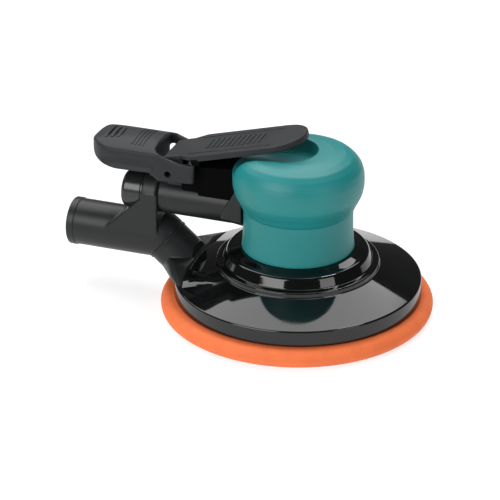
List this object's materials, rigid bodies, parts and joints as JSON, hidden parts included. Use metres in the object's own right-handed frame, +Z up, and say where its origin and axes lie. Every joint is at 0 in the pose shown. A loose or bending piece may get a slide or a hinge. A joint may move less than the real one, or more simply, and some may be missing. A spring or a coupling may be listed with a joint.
{
  "type": "orbital sander",
  "caption": "Palm-grip air random orbital sander: rubber grip, press lever with wrist rest, glossy shroud with a dust duct and hose tube, and a round foam pad.",
  "frame": {"origin": "point of the pad working face that lies on the motor axis", "axes": "+Z up along the motor axis, -X along the handle, lever and hose tube in the plane Y = 0"},
  "size_m": [0.208, 0.1499, 0.1045],
  "materials": {
    "teal_rubber": "fine matt moulded rubber",
    "satin_black": "satin black moulded composite",
    "inlet_black": "black anodised, smooth",
    "charcoal": "dark grey textured moulding",
    "gloss_black": "polished black moulding",
    "orange_foam": "matt orange polyurethane",
    "hook_face": "fine hooks",
    "steel": "ground steel",
    "aluminium": "turned aluminium",
    "dark_iron": "phosphated",
    "brass": "turned brass",
    "vane": "laminated fibre",
    "felt": "pressed felt",
    "plate": "glass filled board"
  },
  "bodies": {
    "root": {"motor_housing": "satin_black", "grip_cover": "teal_rubber", "wrist_rest": "charcoal", "lever_pin": "steel", "inlet_bushing": "inlet_black", "inlet_screen": "brass", "valve_seat": "brass", "valve_spring": "steel", "stem_bushing": "brass", "vacuum_elbow": "satin_black", "suction_nozzle": "satin_black", "shroud": "gloss_black", "lock_ring": "aluminium", "dust_seal": "felt", "lower_end_plate": "aluminium", "lower_bearing": "steel", "motor_cylinder": "steel", "upper_end_plate": "aluminium", "upper_bearing": "steel", "wave_washer": "steel", "alignment_pin": "steel"},
    "motor": {"balancer_shaft": "dark_iron", "rotor": "aluminium", "rotor_vanes": "vane", "rotor_key": "steel", "spindle_bearing": "steel", "bearing_snap_ring": "steel"},
    "pad": {"pad_foam": "orange_foam", "pad_hook_face": "hook_face", "pad_backing_plate": "plate", "pad_stud": "steel", "spindle": "steel", "spindle_screw": "steel"},
    "lever": {"throttle_lever": "charcoal"},
    "valve_stem": {"valve_stem": "steel"},
    "tip_valve": {"tip_valve": "brass"},
    "speed_regulator": {"speed_regulator": "inlet_black"}
  },
  "joints": [
    {"name": "motor_spin", "type": "hinge", "parent": "root", "child": "motor", "pos_m": [0, 0, 0.05], "axis": [0, 0, 1], "continuous": true},
    {"name": "pad_spin", "type": "hinge", "parent": "motor", "child": "pad", "pos_m": [0, -0.00125, 0.02], "axis": [0, 0, 1], "continuous": true},
    {"name": "lever_press", "type": "hinge", "parent": "root", "child": "lever", "pos_m": [-0.07, 0, 0.0753], "axis": [0, 1, 0], "range_deg": [0, 10], "stiffness_Nm_per_rad": 0.4, "springref_deg": -5.73},
    {"name": "stem_slide", "type": "slide", "parent": "root", "child": "valve_stem", "axis": [0, 0, -1], "range_m": [0, 0.0021]},
    {"name": "valve_tilt", "type": "hinge", "parent": "root", "child": "tip_valve", "pos_m": [-0.06605, 0, 0.061], "axis": [0, 1, 0], "range_deg": [0, 14], "deforming": ["valve_spring"]},
    {"name": "regulator_turn", "type": "hinge", "parent": "root", "child": "speed_regulator", "pos_m": [-0.042, 0, 0.056], "axis": [0, 1, 0], "range_deg": [0, 90]}
  ],
  "couplings": [
    {"joint": "stem_slide", "follows": "lever_press", "m_per_rad": 0.012},
    {"joint": "valve_tilt", "follows": "lever_press", "ratio": 1.4}
  ]
}
